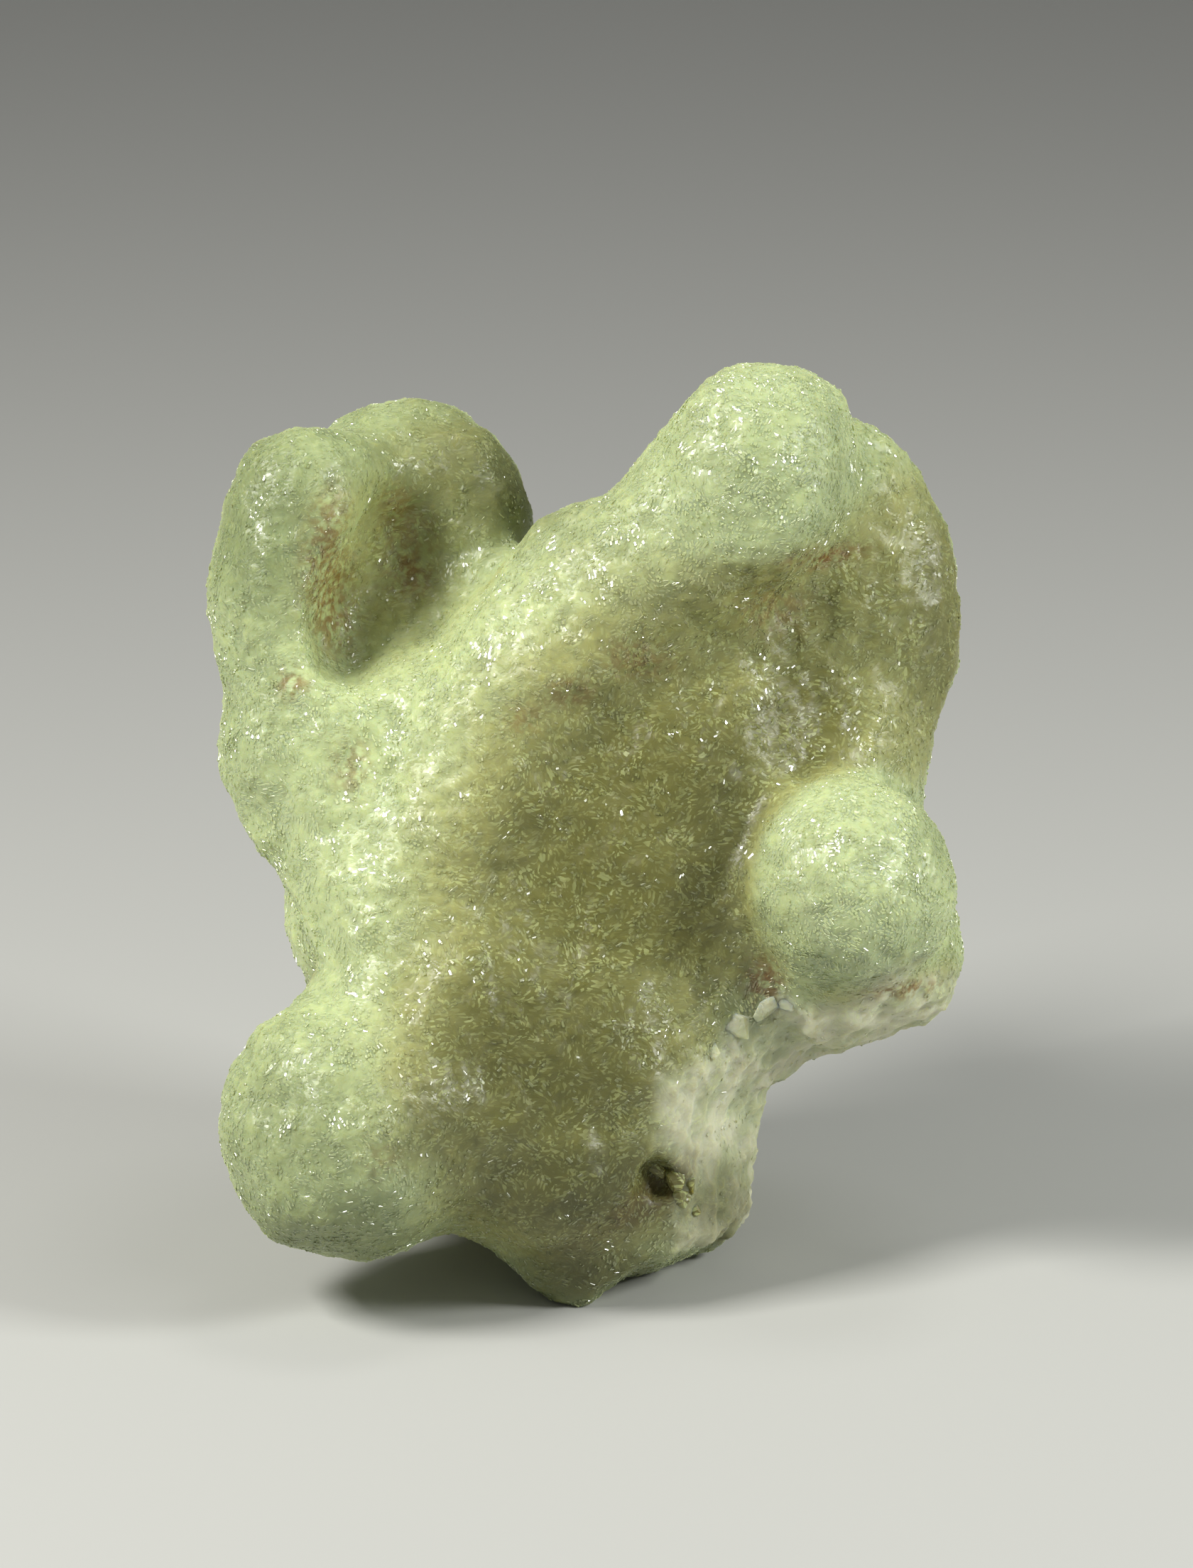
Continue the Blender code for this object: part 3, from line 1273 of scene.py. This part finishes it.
@dataclass
class Crust:
    """The crust of small crystals, blades that lie in fans on the body.

    A crystal's top is as much of its length and width as top says. Its sizes vary by
    random factors from least to most, along, across and up. Angles are in degrees.
    """

    body: bpy.types.Object
    stone: StoneFinish
    length: float = 0.72 * MM
    width: float = 0.36 * MM
    height: float = 0.10 * MM
    sunk: float = 0.06 * MM
    top: tuple[float, float] = (0.84, 0.76)
    least: tuple[float, float, float] = (0.45, 0.45, 0.8)
    most: tuple[float, float, float] = (1.25, 1.1, 1.15)
    fan: float = 2.6 * MM
    lean: float = 20.0
    tilt: float = 6.0
    twist: float = 15.0
    seed: int = 11
    quarters: tuple[Quarter, ...] = (
        Quarter("crust_front_left", 11000),
        Quarter("crust_front_right", 11000),
        Quarter("crust_back_left", 7000),
        Quarter("crust_back_right", 7000),
    )
    inputs: tuple[tuple[str, str], ...] = (
        ("Body", "NodeSocketGeometry"),
        ("Crystal", "NodeSocketObject"),
        ("Quarter", "NodeSocketFloat"),
        ("Density", "NodeSocketFloat"),
        ("Fan", "NodeSocketFloat"),
        ("Lean", "NodeSocketFloat"),
        ("Tilt", "NodeSocketVector"),
        ("Seed", "NodeSocketInt"),
    )
    finish: CrystalFinish = field(default_factory=CrystalFinish)

    def blade(self) -> bpy.types.Object:
        """Makes one crystal: a low blade with a flat top and sloping sides.

        Returns:
            The crystal, outside the scene.
        """
        mesh = bmesh.new()
        foot, top = [], []
        for i, j in ((-1, -1), (1, -1), (1, 1), (-1, 1)):
            x, y = i * self.length / 2, j * self.width / 2
            foot.append(mesh.verts.new((x, y, -self.sunk)))
            corner = (x * self.top[0], y * self.top[1], self.height - self.sunk)
            top.append(mesh.verts.new(corner))
        for i in range(4):
            j = (i + 1) % 4
            mesh.faces.new((foot[i], foot[j], top[j], top[i]))
        mesh.faces.new(top)
        mesh.faces.new(foot[::-1])
        return bpy.data.objects.new("crystal", data_from("crystal", mesh))

    def strewn(self, tree: Tree, given: bpy.types.NodeOutputs) -> bpy.types.Node:
        """Strews points over one quarter of the body, as thickly as its crust mark says.

        Args:
            tree: The geometry tree.
            given: The tree's named inputs.

        Returns:
            The node that gives the points.
        """
        quarter = tree.node("FunctionNodeCompare", data_type="FLOAT", operation="EQUAL")
        tree.put(quarter.inputs["A"], tree.named(Mark.QUARTER))
        tree.put(quarter.inputs["B"], given["Quarter"])
        quarter.inputs["Epsilon"].default_value = 0.5
        density = tree.math("MULTIPLY", given["Density"], tree.named(Mark.CRUST))
        spread = tree.node("GeometryNodeDistributePointsOnFaces")
        tree.put(spread.inputs["Mesh"], given["Body"])
        tree.put(spread.inputs["Selection"], quarter.outputs[0])
        tree.put(spread.inputs["Density"], density)
        tree.put(spread.inputs["Seed"], given["Seed"])
        return spread

    def turned(self, tree: Tree, given: bpy.types.NodeOutputs, normal: Socket) -> Socket:
        """Turns the crystals of a fan one way, leans them alike and tilts each a little.

        Args:
            tree: The geometry tree.
            given: The tree's named inputs.
            normal: The body's normal at each crystal.

        Returns:
            The rotation of each crystal.
        """
        place = tree.node("GeometryNodeInputPosition").outputs[0]
        fans = tree.cells(place, tree.math("DIVIDE", 1.0, given["Fan"]))
        lie = tree.swing(fans.outputs["Color"])
        stand = tree.node("FunctionNodeAxesToRotation", primary_axis="Z", secondary_axis="X")
        tree.put(stand.inputs[0], normal)
        tree.put(stand.inputs[1], lie)
        least = tree.scaled(given["Tilt"], -1.0)
        wobble = tree.chance("FLOAT_VECTOR", least, given["Tilt"], 1)
        common = tree.scaled(tree.vector("MULTIPLY", lie, (1.0, 1.0, 0.0)), given["Lean"])
        euler = tree.node("FunctionNodeEulerToRotation")
        tree.put(euler.inputs[0], tree.vector("ADD", wobble, common))
        turn = tree.node("FunctionNodeRotateRotation", rotation_space="LOCAL")
        tree.put(turn.inputs[0], stand.outputs[0])
        tree.put(turn.inputs[1], euler.outputs[0])
        return turn.outputs[0]

    def tree(self, material: bpy.types.Material) -> bpy.types.NodeTree:
        """The Geometry Nodes tree that strews crystals over one quarter of the body.

        Args:
            material: The crystals' material.

        Returns:
            The tree, with named inputs.
        """
        made = bpy.data.node_groups.new("crust", "GeometryNodeTree")
        for name, kind in self.inputs:
            made.interface.new_socket(name, in_out="INPUT", socket_type=kind)
        made.interface.new_socket("Crust", in_out="OUTPUT", socket_type="NodeSocketGeometry")
        tree = Tree(made)
        given = tree.node("NodeGroupInput").outputs
        spread = self.strewn(tree, given)
        shape = tree.node("GeometryNodeObjectInfo")
        tree.put(shape.inputs["Object"], given["Crystal"])
        grow = tree.node("GeometryNodeInstanceOnPoints")
        tree.put(grow.inputs["Points"], spread.outputs["Points"])
        tree.put(grow.inputs["Instance"], shape.outputs["Geometry"])
        tree.put(grow.inputs["Rotation"], self.turned(tree, given, spread.outputs["Normal"]))
        tree.put(grow.inputs["Scale"], tree.chance("FLOAT_VECTOR", self.least, self.most, 2))
        store = tree.node("GeometryNodeStoreNamedAttribute", data_type="FLOAT", domain="INSTANCE")
        tree.put(store.inputs["Geometry"], grow.outputs[0])
        store.inputs["Name"].default_value = Mark.GRAIN.value
        tree.put(store.inputs["Value"], tree.chance("FLOAT", 0.0, 1.0, 3))
        real = tree.node("GeometryNodeRealizeInstances")
        tree.put(real.inputs[0], store.outputs[0])
        dress = tree.node("GeometryNodeSetMaterial")
        tree.put(dress.inputs["Geometry"], real.outputs[0])
        dress.inputs["Material"].default_value = material
        tree.put(tree.node("NodeGroupOutput").inputs[0], dress.outputs[0])
        return made

    def area_of(self, quarter: int) -> float:
        """The crusted area of one quarter of the body.

        Args:
            quarter: The quarter's number.

        Returns:
            The area in square metres, each face weighted by its crust mark.
        """
        data = self.body.data
        chosen = np.abs(read_mark(data, Mark.QUARTER) - quarter) < 0.5
        share = chosen * read_mark(data, Mark.CRUST)
        areas = np.array([f.area for f in data.polygons])
        firsts = np.array([f.vertices[0] for f in data.polygons])
        return float((areas * share[firsts]).sum())

    def build(self) -> list[bpy.types.Object]:
        """Grows the crust on the body.

        Returns:
            One piece for each quarter of the body.
        """
        crystal = self.blade()
        group = self.tree(self.finish.material(self.stone))
        items = [item for item in group.interface.items_tree if item.in_out == "INPUT"]
        sockets = {item.name: item.identifier for item in items}
        tilt, twist = math.radians(self.tilt), math.radians(self.twist)
        pieces = []
        for number, quarter in enumerate(self.quarters):
            piece = object_from(quarter.name, self.body.data.copy())
            grown = piece.modifiers.new("crust", "NODES")
            grown.node_group = group
            grown[sockets["Crystal"]] = crystal
            grown[sockets["Quarter"]] = float(number)
            grown[sockets["Density"]] = quarter.crystals / self.area_of(number)
            grown[sockets["Fan"]] = self.fan
            grown[sockets["Lean"]] = 2.0 * math.radians(self.lean)
            grown[sockets["Tilt"]] = (tilt, tilt, twist)
            grown[sockets["Seed"]] = self.seed + number
            lift_off_floor(made_plain(piece).data)
            pieces.append(piece)
        return pieces


@dataclass(frozen=True)
class Chip:
    """One chip of stone, face on: its place, half sizes and turns, in millimetres.

    Sunk is how much of its half depth lies in the body.
    """

    place: tuple[float, float]
    half: tuple[float, float, float]
    turn: float = 0.0
    nod: float = 0.0
    sunk: float = 0.35


@dataclass(frozen=True)
class ChipGroup:
    """The chips of one piece: its name, how olive it is, and the chips."""

    name: str
    olive: float
    chips: tuple[Chip, ...]


@dataclass
class Chips:
    """The four pale flakes by the ball and the five splinters in the pocket.

    The lines of sight that place them start at the viewer's depth, in millimetres, face
    on. A bluntness below one makes a chip blockier.
    """

    body: bpy.types.Object
    stone: StoneFinish
    corners: int = 26
    seed: int = 5
    bluntness: float = 0.6
    viewer: float = -90.0
    bare: float = 0.5
    dark_brown_on_olive: float = 0.35
    groups: tuple[ChipGroup, ...] = (
        ChipGroup(
            "pale_flakes",
            0.0,
            (
                Chip((18.4, 36.7), (2.4, 0.7, 1.5), turn=20.0),
                Chip((21.8, 38.6), (2.2, 0.6, 1.2), turn=-35.0, nod=15.0),
                Chip((15.4, 33.6), (1.2, 0.5, 0.9), turn=50.0),
                Chip((24.6, 39.2), (1.3, 0.5, 0.8), turn=10.0),
            ),
        ),
        ChipGroup(
            "pocket_splinters",
            0.9,
            (
                Chip((11.4, 14.8), (1.3, 0.9, 1.2), turn=25.0, nod=20.0, sunk=0.7),
                Chip((12.4, 16.4), (1.0, 0.8, 1.4), turn=10.0, sunk=0.6),
                Chip((13.2, 13.4), (1.2, 0.7, 0.7), turn=65.0, sunk=0.7),
                Chip((10.9, 17.3), (1.2, 1.0, 1.6), turn=-15.0, nod=10.0, sunk=0.2),
                Chip((8.4, 18.6), (1.6, 1.0, 0.9), turn=40.0, sunk=0.3),
            ),
        ),
    )

    def add(
        self,
        mesh: bmesh.types.BMesh,
        chip: Chip,
        finder: BVHTree,
        chance: np.random.Generator,
    ) -> None:
        """Adds one chip to a mesh, where the line of sight meets the body.

        Args:
            mesh: The mesh.
            chip: The chip.
            finder: The body, for the line of sight.
            chance: The source of its random corners.
        """
        start = FACE.place_of(chip.place[0], self.viewer, chip.place[1])
        away = (FACE.place_of(chip.place[0], 0.0, chip.place[1]) - start).normalized()
        hit = finder.ray_cast(start, away)
        if hit[0] is None:
            return
        reach = chance.normal(size=(self.corners, 3))
        reach /= np.linalg.norm(reach, axis=1)[:, None]
        reach = np.sign(reach) * np.abs(reach) ** self.bluntness * np.array(chip.half) * MM
        tilt = Euler((math.radians(chip.nod), math.radians(chip.turn), 0.0)).to_matrix()
        lean = FACE.rotation()
        centre = hit[0] + away * chip.sunk * chip.half[1] * MM
        verts = [mesh.verts.new(centre + lean @ tilt @ Vector(r)) for r in reach]
        hull = bmesh.ops.convex_hull(mesh, input=verts)
        inner = [part for part in hull["geom_interior"] if isinstance(part, bmesh.types.BMVert)]
        bmesh.ops.delete(mesh, geom=inner, context="VERTS")

    def marks_of(self, group: ChipGroup) -> dict[Mark, float]:
        """The marks that all points of a group share.

        Args:
            group: The group.

        Returns:
            One value a mark.
        """
        return {
            Mark.HOLLOW: 0.0,
            Mark.STAIN: 0.0,
            Mark.THIN: 0.0,
            Mark.BARE: self.bare,
            Mark.OLIVE: group.olive,
            Mark.BROKEN: 1.0 - group.olive,
            Mark.EARTH: self.dark_brown_on_olive * group.olive,
        }

    def build(self) -> list[bpy.types.Object]:
        """Makes the flakes and the splinters.

        Returns:
            One piece for each group.
        """
        finder = finder_of(self.body.data)
        chance = np.random.default_rng(self.seed)
        pieces = []
        for group in self.groups:
            mesh = bmesh.new()
            for chip in group.chips:
                self.add(mesh, chip, finder, chance)
            bmesh.ops.recalc_face_normals(mesh, faces=mesh.faces[:])
            data = data_from(group.name, mesh)
            for mark, value in self.marks_of(group).items():
                write_mark(data, mark, np.full(len(data.vertices), value))
            data.materials.append(self.stone.material(group.name))
            pieces.append(object_from(group.name, data))
        return pieces


@dataclass(frozen=True)
class Lamp:
    """A square lamp that faces the stone.

    Its place is right, up and towards the camera from the stone, in metres, its size
    is its side in metres, and its power is in watts.
    """

    name: str
    place: tuple[float, float, float]
    size: float
    power: float
    tone: Tone

    def build(self, aim: Vector) -> None:
        """Adds the lamp, placed in the camera's own directions.

        Args:
            aim: The place that it lights, in metres.
        """
        data = bpy.data.lights.new(self.name, "AREA")
        data.size = self.size
        data.energy = self.power
        data.color = self.tone.rgb()
        lamp = object_from(self.name, data)
        camera = bpy.context.scene.camera
        lamp.location = aim + camera.rotation_quaternion @ Vector(self.place)
        lamp.rotation_mode = "QUATERNION"
        lamp.rotation_quaternion = (lamp.location - aim).to_track_quat("Z", "Y")


@dataclass(frozen=True)
class Floor:
    """A pale floor that curves up behind the stone, sizes in metres and radians."""

    front: float = -1.6
    bend_at: float = 0.9
    bend_radius: float = 0.8
    bend_start: float = 0.1
    bend_steps: int = 12
    top: float = 2.6
    half_width: float = 3.0
    tone: Tone = Tone(0.44, 0.44, 0.43)
    roughness: float = 0.9

    def build(self) -> None:
        """Lays the floor."""
        mesh = bmesh.new()
        line = [(self.front, 0.0), (self.bend_at, 0.0)]
        for angle in np.linspace(self.bend_start, math.pi / 2, self.bend_steps):
            y = self.bend_at + self.bend_radius * math.sin(angle)
            line.append((y, self.bend_radius - self.bend_radius * math.cos(angle)))
        line.append((self.bend_at + self.bend_radius, self.top))
        ends = (-self.half_width, self.half_width)
        rows = [[mesh.verts.new((x, y, z)) for x in ends] for y, z in line]
        for low, high in zip(rows, rows[1:]):
            mesh.faces.new((low[0], low[1], high[1], high[0]))
        data = data_from("floor", mesh)
        data.shade_smooth()
        floor = object_from("floor", data)
        paper = Surface("pale_paper")
        paper.give("Base Color", self.tone.rgba())
        paper.give("Roughness", self.roughness)
        floor.data.materials.append(paper.material)


@dataclass(frozen=True)
class Studio:
    """The pale floor, soft light from the upper left, and the camera.

    The camera's distance is in metres and its lens, its aim and the place that the lamps
    light are in millimetres, the places face on.
    """

    distance: float = 0.9
    lens: float = 162.97
    aim: tuple[float, float, float] = (0.9, 0.0, 66.9)
    lit: tuple[float, float, float] = (0.0, 0.0, 62.0)
    lamps: tuple[Lamp, ...] = (
        Lamp("key", (-0.45, 0.40, 0.38), 0.20, 6.0, Tone(1.0, 0.99, 0.93)),
        Lamp("side", (0.52, 0.24, 0.28), 0.16, 3.1, Tone(0.98, 1.0, 0.95)),
        Lamp("top", (0.10, 0.62, 0.10), 0.16, 0.5, Tone(1.0, 1.0, 0.96)),
    )
    floor: Floor = Floor()
    room_tone: Tone = Tone(0.96, 0.98, 0.95)
    room_light: float = 0.2

    def camera(self) -> None:
        """Sets the camera square to the front of the stone."""
        made = object_from("camera", bpy.data.cameras.new("camera"))
        made.data.lens = self.lens
        lean = math.radians(LEAN_BACK)
        back = Vector((0.0, -math.cos(lean), math.sin(lean)))
        made.location = FACE.place_of(*self.aim) + back * self.distance
        made.rotation_mode = "QUATERNION"
        made.rotation_quaternion = (-back).to_track_quat("-Z", "Y")
        bpy.context.scene.camera = made

    def build(self) -> None:
        """Sets up the camera, the floor and the light, with colours shown plainly."""
        self.camera()
        self.floor.build()
        for lamp in self.lamps:
            lamp.build(FACE.place_of(*self.lit))
        world = bpy.data.worlds.new("room")
        world.use_nodes = True
        room = world.node_tree.nodes["Background"]
        room.inputs["Color"].default_value = self.room_tone.rgba()
        room.inputs["Strength"].default_value = self.room_light
        bpy.context.scene.world = world
        bpy.context.scene.view_settings.view_transform = "Standard"


def main() -> None:
    """Builds the stone and the studio, and reports each piece."""
    logging.basicConfig(level=logging.INFO, format="%(name)s: %(message)s")
    Studio().build()
    stone = StoneBody(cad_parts[NODE])
    body = stone.build()
    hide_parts(NODE)
    for piece in [body] + Crust(body, stone.finish).build() + Chips(body, stone.finish).build():
        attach(piece, BODY)
        piece.data.calc_loop_triangles()
        LOG.info("%s: %d triangles", piece.name, len(piece.data.loop_triangles))


if __name__ == "__main__":
    main()
